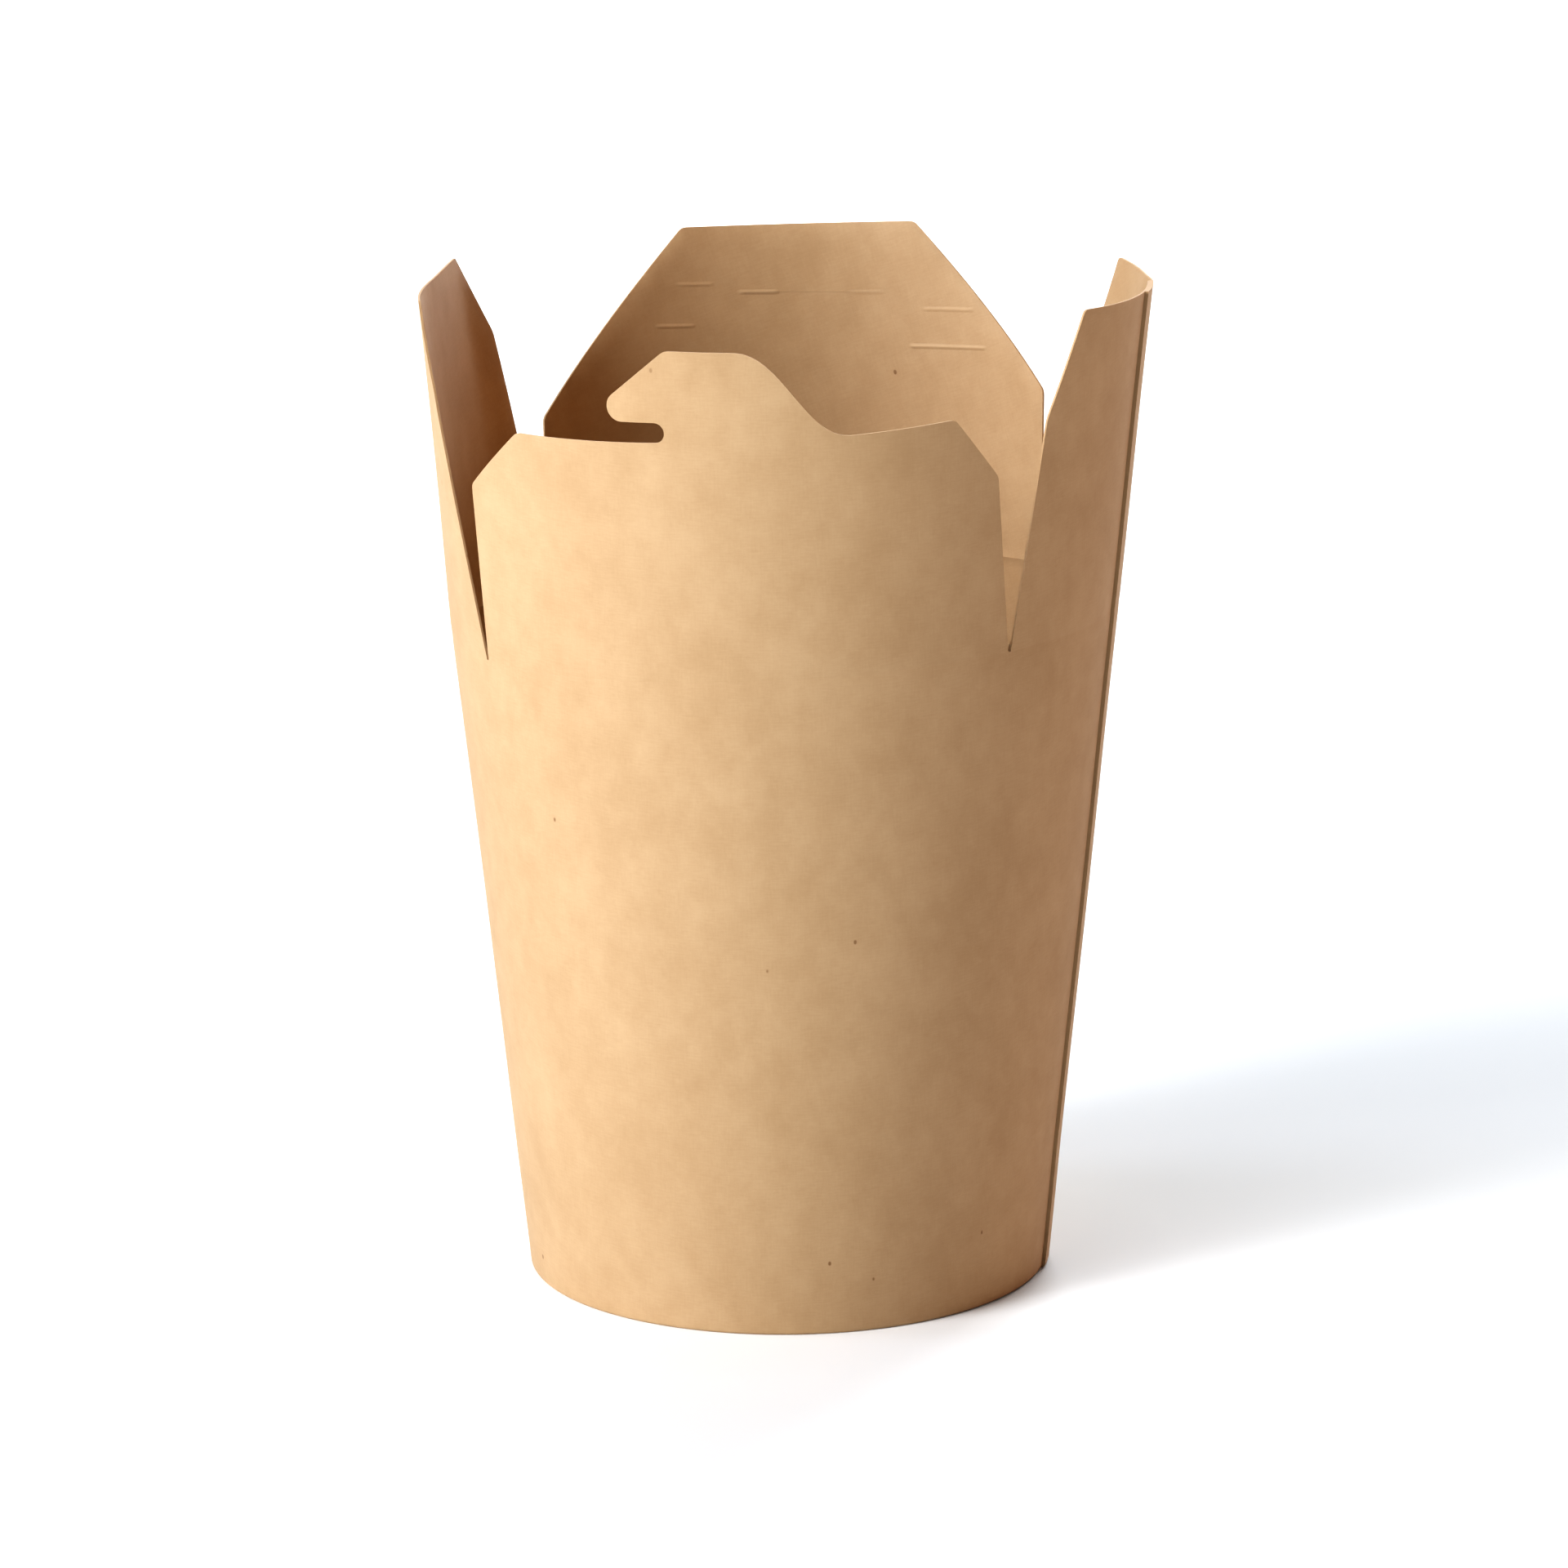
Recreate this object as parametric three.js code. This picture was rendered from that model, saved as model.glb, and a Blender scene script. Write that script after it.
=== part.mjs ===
// A round paperboard noodle box, empty and open: a conical cup of kraft board with four flaps at its rim.
// Millimetres, +Z up. The box stands on z = 0 with the cup's axis on Z, and its hook flap faces -Y.
import * as THREE from 'three';

// Driving dimensions
const BOARD = 0.5;                // board thickness
const FOOT_RADIUS = 36.5;         // outside of the cup at its foot
const WALL_LEAN = 5.78;           // degrees that the wall leans outward
const CREASE_HEIGHT = 93;         // fold line of the flaps, level with the bottoms of the slits
const GAP = 0.3;                  // clearance between pieces that touch
const SLIT_WIDTH = 0.7;           // a slit between two flaps, at its bottom
const SLIT_RELIEF = 1.2;          // a slit's bottom is eased this far, so that folding corners clear
const FOOT_CORNER = 0.45;         // radius of the folded foot's two lower corners
const HEM_TOP = 6.4;              // the wall's lower edge, folded in and up round the base skirt
const BASE_TOP = 8;               // inside floor of the cup
const SKIRT_BOTTOM = 1;           // lower edge of the base skirt
const SKIRT_BEND = 1.2;           // radius between the base disc and its skirt

// Azimuths in degrees round the cup: 0 is the front, 90 the right (+X), 180 the back
const SLITS = [50.7, 135.8, 237.2, 309.3];
const SEAM_EDGE = 87;             // raw edge of the outer layer of the glued lap
const SEAM_LAP = 11;              // width of the lap, about 9 mm at the rim
const SEAM_RISE = 7;              // stretch over which the outer layer comes down beyond the inner one
const STEP_WIDTH = 0.04;          // a raw edge is this steep
const COLUMN_STEP = 5;            // spacing of the facets round the cup
const BEND_STEPS = 3;             // facets round a small bend
const CURVE_STEPS = 6;            // pieces that a curve of an outline is cut into
const SAME_AZIMUTH = 1e-6;        // two columns closer than this, in degrees, are one
const HEIGHT_GRAIN = 1e-4;        // heights in a flap are rounded to this, so that neighbouring cells meet

const KRAFT = { color: 0xc49a6c, roughness: 0.82, metalness: 0 };
const KRAFT_BASE = { color: 0xb98f61, roughness: 0.86, metalness: 0 };

const radians = THREE.MathUtils.degToRad;
const degrees = THREE.MathUtils.radToDeg;
const LEAN = radians(WALL_LEAN);
const TIP_TO_FOOT = FOOT_RADIUS / Math.sin(LEAN);   // from the cone's tip, along the wall, to the foot
const CREASE_SLANT = (CREASE_HEIGHT + GAP / 2) / Math.cos(LEAN);

// A point at an azimuth and a distance from the axis
function around(azimuth, radius, z) {
  const turn = radians(azimuth);
  return [radius * Math.sin(turn), -radius * Math.cos(turn), z];
}

const outsideAt = (z) => FOOT_RADIUS + z * Math.tan(LEAN);

// How many boards the outer and inner faces stand out at an azimuth, because of the glued lap
function lapLayers(azimuth) {
  const innerEdge = SEAM_EDGE + SEAM_LAP;
  const settle = 1 - THREE.MathUtils.smoothstep(azimuth, innerEdge, innerEdge + SEAM_RISE);
  return {
    outer: azimuth > SEAM_EDGE ? settle : 0,
    inner: azimuth > innerEdge ? settle : 0,
  };
}

// Azimuths from one to another at every facet, with a pair at each raw edge of the lap
function columnsBetween(from, to) {
  const columns = [];
  for (let k = Math.ceil(from / COLUMN_STEP); k * COLUMN_STEP < to; k += 1) columns.push(k * COLUMN_STEP);
  for (const edge of [SEAM_EDGE, SEAM_EDGE + SEAM_LAP]) {
    columns.push(edge - STEP_WIDTH / 2, edge + STEP_WIDTH / 2);
  }
  columns.push(SEAM_EDGE + SEAM_LAP + SEAM_RISE / 2);
  const inside = columns.filter((azimuth) => azimuth > from && azimuth < to);
  return [...new Set([from, ...inside])].sort((a, b) => a - b);
}

// A closed mesh from points and triangles, with its faces pointing out
function closedMesh(name, points, triangles, finish) {
  const [a, b, c] = [new THREE.Vector3(), new THREE.Vector3(), new THREE.Vector3()];
  let volume = 0;
  for (const [i, j, k] of triangles) {
    volume += a.fromArray(points[i]).dot(b.fromArray(points[j]).cross(c.fromArray(points[k])));
  }
  const order = volume < 0 ? triangles.map(([i, j, k]) => [i, k, j]) : triangles;
  const geometry = new THREE.BufferGeometry();
  geometry.setAttribute('position', new THREE.Float32BufferAttribute(points.flat(), 3));
  geometry.setIndex(order.flat());
  geometry.computeVertexNormals();
  const mesh = new THREE.Mesh(geometry, new THREE.MeshStandardMaterial(finish));
  mesh.name = name;
  return mesh;
}

// A section through the wall: each point is an inset from the outside, a height and the face it is on
function wallSection() {
  const hem = 3 * BOARD + 2 * GAP;         // wall, skirt and hem with their clearances
  const top = CREASE_HEIGHT - GAP / 2;
  const section = [{ inset: 0, z: top, face: 'outer' }];
  for (const [centre, start] of [[FOOT_CORNER, 0], [hem - FOOT_CORNER, Math.PI / 2]]) {
    for (let k = 0; k <= BEND_STEPS; k += 1) {
      const turn = start + (Math.PI / 2) * (k / BEND_STEPS);
      const inset = centre - FOOT_CORNER * Math.cos(turn);
      section.push({ inset, z: FOOT_CORNER * (1 - Math.sin(turn)), face: inset === 0 ? 'outer' : 'roll' });
    }
  }
  section.push({ inset: hem, z: HEM_TOP, face: 'hem' });
  section.push({ inset: hem - BOARD, z: HEM_TOP, face: 'hem' });
  section.push({ inset: hem - BOARD, z: BOARD, face: 'roll' });
  section.push({ inset: BOARD, z: BOARD, face: 'roll' });
  section.push({ inset: BOARD, z: BASE_TOP, face: 'roll' });
  section.push({ inset: BOARD, z: BASE_TOP + 1, face: 'inner' });
  section.push({ inset: BOARD, z: top, face: 'inner' });
  return section;
}

// The conical wall with its folded foot, swept round the cup with the glued lap in it
function cupWall() {
  const section = wallSection();
  const columns = columnsBetween(0, 360);
  const points = [];
  const triangles = [];
  for (const azimuth of columns) {
    const layers = lapLayers(azimuth);
    for (const { inset, z, face } of section) {
      const lift = BOARD * (layers[face] ?? 0);
      points.push(around(azimuth, outsideAt(z) - inset + lift, z));
    }
  }
  const count = section.length;
  columns.forEach((_, i) => {
    const here = i * count;
    const next = ((i + 1) % columns.length) * count;
    for (let j = 0; j < count; j += 1) {
      const k = (j + 1) % count;
      triangles.push([here + j, next + j, next + k], [here + j, next + k, here + k]);
    }
  });
  return closedMesh('cup_wall', points, triangles, KRAFT);
}

// The recessed base: a disc with a skirt turned down between the wall and its hem
function cupBase() {
  const skirtOut = (z) => outsideAt(z) - BOARD - GAP;
  const bend = (radius, reverse) => {
    const centre = new THREE.Vector2(skirtOut(BASE_TOP - SKIRT_BEND) - SKIRT_BEND, BASE_TOP - SKIRT_BEND);
    const points = [];
    for (let k = 0; k <= BEND_STEPS; k += 1) {
      const turn = (Math.PI / 2) * (reverse ? k / BEND_STEPS : 1 - k / BEND_STEPS);
      points.push(new THREE.Vector2(radius * Math.cos(turn), radius * Math.sin(turn)).add(centre));
    }
    return points;
  };
  const profile = [
    new THREE.Vector2(0, BASE_TOP),
    ...bend(SKIRT_BEND, false),
    new THREE.Vector2(skirtOut(SKIRT_BOTTOM), SKIRT_BOTTOM),
    new THREE.Vector2(skirtOut(SKIRT_BOTTOM) - BOARD, SKIRT_BOTTOM),
    ...bend(SKIRT_BEND - BOARD, true),
    new THREE.Vector2(0, BASE_TOP - BOARD),
  ].reverse();
  const geometry = new THREE.LatheGeometry(profile, 360 / COLUMN_STEP);
  const base = new THREE.Mesh(geometry, new THREE.MeshStandardMaterial(KRAFT_BASE));
  base.name = 'cup_base';
  base.rotation.x = Math.PI / 2;           // the lathe turns round Y, the cup stands on Z
  return base;
}

// Flap outlines are drawn on the board laid flat. x runs round the cup from the flap's centre line,
// towards greater azimuths, and y up the slant from the foot.
function onFlat({ x, y }, centre) {
  const slope = x / (y + TIP_TO_FOOT);
  return { azimuth: centre + degrees(Math.atan(slope)) / Math.sin(LEAN), x, y: y + TIP_TO_FOOT };
}

// Distance from the cone's tip to where a straight cut from a to b crosses an azimuth
function crossing(a, b, azimuth, centre) {
  if (a.arc && b.arc) return TIP_TO_FOOT + CREASE_SLANT;
  const slope = Math.tan(radians(azimuth - centre) * Math.sin(LEAN));
  const offA = a.x - slope * a.y;
  const offB = b.x - slope * b.y;
  const along = offA === offB ? 0 : offA / (offA - offB);
  return Math.hypot(a.x + along * (b.x - a.x), a.y + along * (b.y - a.y));
}

// Joins two rising chains of points into a strip of triangles
function strip(left, right) {
  const triangles = [];
  let [i, j] = [0, 0];
  while (i < left.length - 1 || j < right.length - 1) {
    const leftShare = (i + 1) / left.length;
    const rightShare = (j + 1) / right.length;
    if (j === right.length - 1 || (i < left.length - 1 && leftShare <= rightShare)) {
      triangles.push([left[i], right[j], left[i + 1]]);
      i += 1;
    } else {
      triangles.push([left[i], right[j], right[j + 1]]);
      j += 1;
    }
  }
  return triangles;
}

// A flap: its outline and cuts, drawn flat, are bent onto the cone and given the board's thickness.
// spring moves a point of the flap outward, for board that has sprung a little flatter.
function flap(name, { centre, from, to, shape, spring = () => 0 }) {
  const columns = new Set(columnsBetween(from, to));
  const loops = [shape.getPoints(CURVE_STEPS), ...shape.getPointsHoles(CURVE_STEPS)].map((loop, index) => {
    const points = loop.map((point) => onFlat(point, centre));
    if (index === 0) {
      points[0].arc = true;
      points[points.length - 1].arc = true;
    }
    return points;
  });
  loops.flat().forEach(({ azimuth }) => columns.add(azimuth));
  const sorted = [...columns].sort((a, b) => a - b);
  const azimuths = sorted.filter((azimuth, k) => k === 0 || azimuth - sorted[k - 1] > SAME_AZIMUTH);
  const edges = loops.flatMap((loop) => loop.map((a, k) => [a, loop[(k + 1) % loop.length]]));

  // Between two neighbouring azimuths the flap is one or more four-sided cells
  const heights = azimuths.map(() => new Set());
  const cells = [];
  const rounded = (value) => Math.round(value / HEIGHT_GRAIN) * HEIGHT_GRAIN;
  for (let k = 0; k < azimuths.length - 1; k += 1) {
    const middle = (azimuths[k] + azimuths[k + 1]) / 2;
    const at = (edge, azimuth) => rounded(crossing(...edge, azimuth, centre));
    const cut = edges
      .filter(([a, b]) => (a.azimuth < middle) !== (b.azimuth < middle))
      .sort((a, b) => at(a, middle) - at(b, middle));
    for (let n = 0; n < cut.length; n += 2) {
      const cell = [k, k + 1].map((side) => [at(cut[n], azimuths[side]), at(cut[n + 1], azimuths[side])]);
      cell.forEach((pair, side) => pair.forEach((value) => heights[k + side].add(value)));
      cells.push({ k, sides: cell });
    }
  }

  const outer = [];
  const inner = [];
  const numbers = azimuths.map(() => new Map());
  const vertex = (k, distance) => {
    if (!numbers[k].has(distance)) {
      const layers = lapLayers(azimuths[k]);
      const slant = distance - TIP_TO_FOOT;
      const radius = distance * Math.sin(LEAN) + spring(azimuths[k] - centre, slant - CREASE_SLANT);
      const z = slant * Math.cos(LEAN);
      numbers[k].set(distance, outer.length);
      outer.push(around(azimuths[k], radius + BOARD * layers.outer, z));
      inner.push(around(azimuths[k], radius - BOARD + BOARD * layers.inner, z));
    }
    return numbers[k].get(distance);
  };
  const face = cells.flatMap(({ k, sides }) => {
    const chains = sides.map(([low, high], side) => {
      const inCell = [...heights[k + side]].filter((value) => value >= low && value <= high);
      return inCell.sort((a, b) => a - b).map((value) => vertex(k + side, value));
    });
    return strip(...chains);
  });

  // The cut edges of the board close the two faces
  const shift = outer.length;
  const rim = new Map();
  for (const [a, b, c] of face) {
    for (const [i, j] of [[a, b], [b, c], [c, a]]) {
      if (!rim.delete(`${j} ${i}`)) rim.set(`${i} ${j}`, [i, j]);
    }
  }
  const edgeFaces = [...rim.values()].flatMap(([i, j]) => [[j, i, i + shift], [j, i + shift, j + shift]]);
  const innerFace = face.map(([a, b, c]) => [a + shift, c + shift, b + shift]);
  return closedMesh(name, [...outer, ...inner], [...face, ...innerFace, ...edgeFaces], KRAFT);
}

// A point of the flat board at an azimuth, a height up the slant above the crease
function flatPoint(azimuth, centre, rise) {
  const turn = radians(azimuth - centre) * Math.sin(LEAN);
  const distance = TIP_TO_FOOT + CREASE_SLANT + rise;
  return [distance * Math.sin(turn), distance * Math.cos(turn) - TIP_TO_FOOT];
}

// A flap from slit to slit. draw takes the outline from the one side's foot, over the top, to the other's.
function flapBetween(name, centre, firstSlit, lastSlit, draw, spring) {
  const degreesAround = (length) => degrees(length / outsideAt(CREASE_HEIGHT));
  const edge = degreesAround(SLIT_WIDTH / 2);
  const corner = degreesAround(SLIT_WIDTH / 2 + SLIT_RELIEF);
  const [from, to] = [firstSlit + corner, lastSlit - corner];
  const shape = new THREE.Shape();
  shape.moveTo(...flatPoint(to, centre, 0));
  shape.lineTo(...flatPoint(lastSlit - edge, centre, SLIT_RELIEF));
  draw(shape);
  shape.lineTo(...flatPoint(firstSlit + edge, centre, SLIT_RELIEF));
  shape.lineTo(...flatPoint(from, centre, 0));
  return flap(name, { centre, from, to, shape, spring });
}

// The front flap ends in a hook tab that locks into the back flap's slot
const FRONT = {
  centre: 0,
  left: { side: { x: -41.3, y: 114.8 }, shoulder: { x: -30.4, y: 124.3 } },
  right: { side: { x: 38.7, y: 118.1 }, shoulder: { x: 32, y: 127 } },
  plainTop: 126.6,                // the top edge where the curl starts
  curl: { from: 17.5, to: 2.6, out: 11.5, in: 8.8 },
  hookTop: 138.1,
  hookStart: -6.7,
  tip: { x: -13, y: 130.2, radius: 2, from: 128 },
  notch: { x: -8.3, y: 127.05, radius: 1.35 },
};

function drawFront(shape) {
  const { left, right, plainTop, curl, hookTop, hookStart, tip, notch } = FRONT;
  shape.lineTo(right.side.x, right.side.y);
  shape.lineTo(right.shoulder.x, right.shoulder.y);
  shape.lineTo(curl.from, plainTop);
  shape.bezierCurveTo(curl.out, plainTop, curl.in, hookTop, curl.to, hookTop);
  shape.lineTo(hookStart, hookTop);
  shape.absarc(tip.x, tip.y, tip.radius, radians(tip.from), radians(270), false);
  shape.absarc(notch.x, notch.y, notch.radius, radians(90), radians(-90), true);
  shape.lineTo(left.shoulder.x, left.shoulder.y);
  shape.lineTo(left.side.x, left.side.y);
}

// The back flap is a tall trapezoid with the slot that takes the hook. Its left is the viewer's in front.
const BACK = {
  centre: 186.5,
  left: { side: { x: 40.6, y: 113.5 }, top: { x: 17.2, y: 140.3 } },
  right: { side: { x: -40.3, y: 117.5 }, top: { x: -17.2, y: 141.2 } },
  slot: { from: -13.2, to: 9.2, y: 130.9, width: 0.8 },
};

function drawBack(shape) {
  const { left, right, slot } = BACK;
  shape.lineTo(left.side.x, left.side.y);
  shape.lineTo(left.top.x, left.top.y);
  shape.lineTo(right.top.x, right.top.y);
  shape.lineTo(right.side.x, right.side.y);
  const cut = new THREE.Path();
  cut.moveTo(slot.from, slot.y - slot.width / 2);
  cut.lineTo(slot.from, slot.y + slot.width / 2);
  cut.lineTo(slot.to, slot.y + slot.width / 2);
  cut.lineTo(slot.to, slot.y - slot.width / 2);
  shape.holes.push(cut);
}

// The two side flaps fold in first, and have chamfered shoulders
const RIGHT = { centre: 91, shoulder: { x: 30.6, y: 125.4 }, top: { x: 25.1, y: 139.7 } };
const LEFT = { centre: 273, shoulder: { x: 25.3, y: 127.9 }, top: { x: 20.1, y: 139.4 } };

const drawSide = ({ shoulder, top }) => (shape) => {
  shape.lineTo(shoulder.x, shoulder.y);
  shape.lineTo(top.x, top.y);
  shape.lineTo(-top.x, top.y);
  shape.lineTo(-shoulder.x, shoulder.y);
};

// The left flap has sprung flatter than the cone, so its middle stands in, and its far top corner curls out
const FLAP_RISE = 47;             // from the crease to the top of a flap
const SPRING = {
  flatter: 1.85,                  // how far the middle of the top edge stands in
  corner: 2.3,                    // how far the far top corner curls out
  halfTop: 23,                    // degrees from the flap's centre to a top corner
  widest: 1.3,                    // the flap's near edge below, as a share of halfTop
};

function leftSpring(offCentre, rise) {
  const across = THREE.MathUtils.clamp(offCentre / SPRING.halfTop, -1, SPRING.widest);
  const up = THREE.MathUtils.clamp(rise / FLAP_RISE, 0, 1);
  const far = Math.max(-across, 0);
  return SPRING.flatter * up * (across * across - 1) + SPRING.corner * (up * far) ** 2;
}

const [frontRight, rightBack, backLeft, leftFront] = SLITS;
const box = new THREE.Group();
box.add(cupWall());
box.add(cupBase());
box.add(flapBetween('front_flap', FRONT.centre, leftFront - 360, frontRight, drawFront));
box.add(flapBetween('right_flap', RIGHT.centre, frontRight, rightBack, drawSide(RIGHT)));
box.add(flapBetween('back_flap', BACK.centre, rightBack, backLeft, drawBack));
box.add(flapBetween('left_flap', LEFT.centre, backLeft, leftFront, drawSide(LEFT), leftSpring));

export default box;
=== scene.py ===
"""A round kraft noodle box, empty and open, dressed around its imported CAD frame.

The board is one sheet: a conical wall with a rolled foot and a glued lap, and four flaps above the fold line.
Lengths are in millimetres until a mesh is made. Azimuths are degrees round the cup: 0 is the front (-Y),
90 the right (+X). A slant is a length up the cone from the foot, and a share is a part of one.
"""

import math

import bmesh
import bpy
import numpy as np
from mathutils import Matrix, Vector, geometry, noise


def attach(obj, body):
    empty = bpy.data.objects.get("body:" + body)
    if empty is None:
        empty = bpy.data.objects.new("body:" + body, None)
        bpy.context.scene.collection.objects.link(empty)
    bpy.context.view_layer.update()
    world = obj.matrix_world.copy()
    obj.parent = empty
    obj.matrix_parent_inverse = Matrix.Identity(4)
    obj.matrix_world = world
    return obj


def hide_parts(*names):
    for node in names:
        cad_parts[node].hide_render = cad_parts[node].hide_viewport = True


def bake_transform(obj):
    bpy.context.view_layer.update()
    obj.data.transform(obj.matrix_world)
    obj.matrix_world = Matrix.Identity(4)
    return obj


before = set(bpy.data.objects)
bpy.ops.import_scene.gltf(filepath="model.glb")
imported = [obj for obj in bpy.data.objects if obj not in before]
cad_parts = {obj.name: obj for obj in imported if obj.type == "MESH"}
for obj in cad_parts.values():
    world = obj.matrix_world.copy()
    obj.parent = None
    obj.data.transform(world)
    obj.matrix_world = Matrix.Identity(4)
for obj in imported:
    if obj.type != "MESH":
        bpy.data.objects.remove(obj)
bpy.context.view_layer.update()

MM = 0.001

# The cup's cone, its board and the slits between its flaps, the same sizes as the frame
BOARD = 0.5
FOOT_RADIUS = 36.5
WALL_LEAN = math.radians(5.78)
FOLD_HEIGHT = 93.0
TIP_TO_FOOT = FOOT_RADIUS / math.sin(WALL_LEAN)
FOLD_SLANT = FOLD_HEIGHT / math.cos(WALL_LEAN)
SLITS = (50.7, 135.8, 237.2, 309.3)
SLIT_WIDTH = 0.5

# The fold line stands this much higher on the right than at the front, and lower on the left
FOLD_TILT = 2.0

# Board is never quite true: a slow wave that closes round the cup and grows from the foot up
WAVE_DEPTH = 0.16
WAVE_TURN = 1.3
WAVE_HEIGHT = 38.0
WAVE_START = 2.0
WAVE_FULL = 20.0

# The glued lap that runs up the right side, in degrees, and the groove before its outer edge. The groove's
# depth is in millimetres, and its floor is a share of its width
LAP_EDGE = 87.0
LAP_WIDTH = 11.0
LAP_INNER_EDGE = LAP_EDGE + LAP_WIDTH
LAP_MIDDLE = LAP_EDGE + LAP_WIDTH / 2
LAP_RISE = 7.0
LAP_GROOVE = 0.09
LAP_GROOVE_WIDTH = 0.24
LAP_GROOVE_FLOOR = 0.9
RAW_EDGE_WIDTH = 0.06

# The folded foot and the recessed base
FOOT_CORNER = 0.45
HEM_TOP = 6.4
BASE_TOP = 8.0
BASE_THICKNESS = 0.5
BASE_CROWN = 0.35
SKIRT_BOTTOM = 1.0
SKIRT_BEND = 1.2
LAYER_GAP = 0.3

# The fold line is scored: a shallow groove outside and a low bead inside
SCORE_DEPTH = 0.045
SCORE_BEAD = 0.25
SCORE_HALF_WIDTH = 0.9
SCORE_FALL = 2.5

# The flaps on the flat sheet: x from a flap's centre line towards greater azimuths, y up from the foot
FLAP_CENTRES = (0.0, 91.0, 186.5, 273.0)
FRONT_RIGHT_SHOULDER = [(38.7, 118.1), (32.0, 127.0)]
FRONT_LEFT_SHOULDER = [(-30.4, 124.3), (-41.3, 114.8)]
RIGHT_SHOULDER = (30.6, 125.4)
RIGHT_TOP = (25.1, 139.7)
LEFT_SHOULDER = (25.3, 127.9)
LEFT_TOP = (20.1, 139.4)
BACK_CORNERS = [(40.6, 113.5), (17.2, 140.3), (-17.2, 141.2), (-40.3, 117.5)]

# The front flap's hook: its curl's four guide points across, its flat top, its round tip and the notch below
HOOK_CURL = (17.5, 11.5, 8.8, 2.6)
HOOK_SHOULDER = 126.6
HOOK_TOP = 138.1
HOOK_TOP_LEFT = -6.7
HOOK_TIP = (-13.0, 130.2)
HOOK_TIP_RADIUS = 2.0
HOOK_TIP_TURN = (128, 270)
NOTCH = (-8.3, 127.05)
NOTCH_RADIUS = 1.35

# The slot in the back flap that takes the hook, a cut that has closed again
SLOT_END = 9.2
SLOT_START = -13.2
SLOT_WIDTH = 0.02
SLOT_HEIGHT = 130.9

# The left flap's spring, in millimetres at its top, over half the width of its top in degrees
FLAP_RISE = 47.0
LEFT_FLATTER = 1.85
LEFT_CORNER = 2.3
LEFT_HALF_TOP = 23.0
LEFT_WIDEST = 1.3

# Cut corners are eased to this radius, if the sides and the angle between them leave room for it
CORNER_RADIUS = 0.7
CORNER_SIDE_SHARE = 0.4
CORNER_ROOM = 0.9
CORNER_LEAST_TURN = 0.25
CORNER_STEPS = (0.0, 0.25, 0.5, 0.75, 1.0)

# Die-cutting crushes the board at its cuts to this share of its thickness
CRUSHED = 0.6

# Short lines pressed into the back flap round its slot: from, to, height on the flat flap, and depth. Each is
# a low ridge in the relief with a paler painted highlight along it, and the depth scales both
BACK_DASHES = (
    (2.5, SLOT_END, SLOT_HEIGHT, 0.9),
    (SLOT_START, -7.0, SLOT_HEIGHT, 0.35),
    (15.0, 21.7, 126.1, 0.6),
    (12.2, 18.6, 132.1, 0.5),
    (-27.5, -18.4, 128.6, 0.6),
    (-29.6, -16.4, 123.2, 1.0),
)
DASH_HALF_WIDTH = 0.45
DASH_END = 1.2
DASH_RELIEF = 8.0

# How finely the wall is meshed: degrees round the cup, millimetres up it and the gaps beside other lines
COLUMN_STEP = 1.5
ROW_STEP = 3.0
LAP_CLEAR = 1.0
LAP_BEYOND = 0.5
FOOT_CLEAR = 1.0
FOLD_CLEAR = 2.4
INNER_BELOW_BASE = 2.0
SCORE_ROWS = (1.6, 1.0, 0.5, 0.0)
BEND_STEPS = 5
SMOOTH_BELOW = math.radians(38)

# How finely the base is meshed, and how far along the sheet's third axis its pulp is taken
BASE_TURNS = 144
BASE_RING_STEP = 3.0
BASE_RING_CLEAR = 1.5
BASE_PULP = 5.0

# How finely the flaps are meshed: millimetres up them, degrees across, and the gaps left beside other lines
FLAP_STEP = 1.7
FLAP_TURN = 2.1
FLAP_REACH = 50.0
FLAP_START_CLEAR = 0.8
FLAP_END_CLEAR = 0.5
FOLD_END_CLEAR = 0.2
SCORE_CLEAR = 0.9
LINE_CLEAR = 0.45
CUT_CLEAR = 0.3
CURL_STEPS = 16
TIP_STEPS = 12
NOTCH_STEPS = 10
SLOT_STEPS = 4

# The triangles fill only what is inside the cuts, and points as close as this are one. SHORTEST is a squared
# length that keeps a side of no length from being divided by
INSIDE_ONLY = 1
SAME_POINT = 1e-4
SHORTEST = 1e-9

# Kraft board, as linear colours
KRAFT_PALE = (0.508, 0.360, 0.213)
KRAFT_DEEP = (0.427, 0.288, 0.158)
# Dark fibre specks, and also the painted shade in the gap at the lap's raw edge
FIBRE_AND_SHADE_DARK = (0.180, 0.085, 0.030)
RAW_CORE_AND_HIGHLIGHT = (0.640, 0.470, 0.290)
BASE_TONE = 0.93

# The clouds in the pulp: how often each repeats per millimetre across, up and through the sheet, how many
# finer clouds it holds and how strong these are. Below, each cloud's share of the colour and of the relief
CLOUDS = {
    "pulp": ((0.07, 0.06, 0.4), 3.0, 0.55),
    "patches": ((0.26, 0.20, 0.4), 2.0, 0.55),
    "fibres": ((0.55, 4.2, 0.4), 4.0, 0.6),
    "felt": ((2.6, 2.2, 0.4), 3.0, 0.6),
    "strands": ((3.8, 0.45, 0.4), 3.0, 0.6),
}
COLOUR_SHARES = {"pulp": 0.8, "patches": 0.55, "fibres": 0.45, "strands": 0.3, "felt": 0.25}
RELIEF_SHARES = {"fibres": 0.5, "felt": 0.35, "strands": 0.3, "patches": 0.5}
PALE_RANGE = (0.70, 1.65)

# Dark specks, one to a cell of the sheet if chance gives it one. Hairs where fibres are few and felt thick
SPECK_CELLS = (0.16, 0.11, 0.3)
SPECK_EDGE = (0.025, 0.05)
SPECK_CHANCE = (0.62, 0.66)
SPECK_SHARE = 0.75
HAIR_FIBRES = (0.66, 0.78)
HAIR_FELT = (0.50, 0.66)
HAIR_SHARE = 0.22
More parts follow.
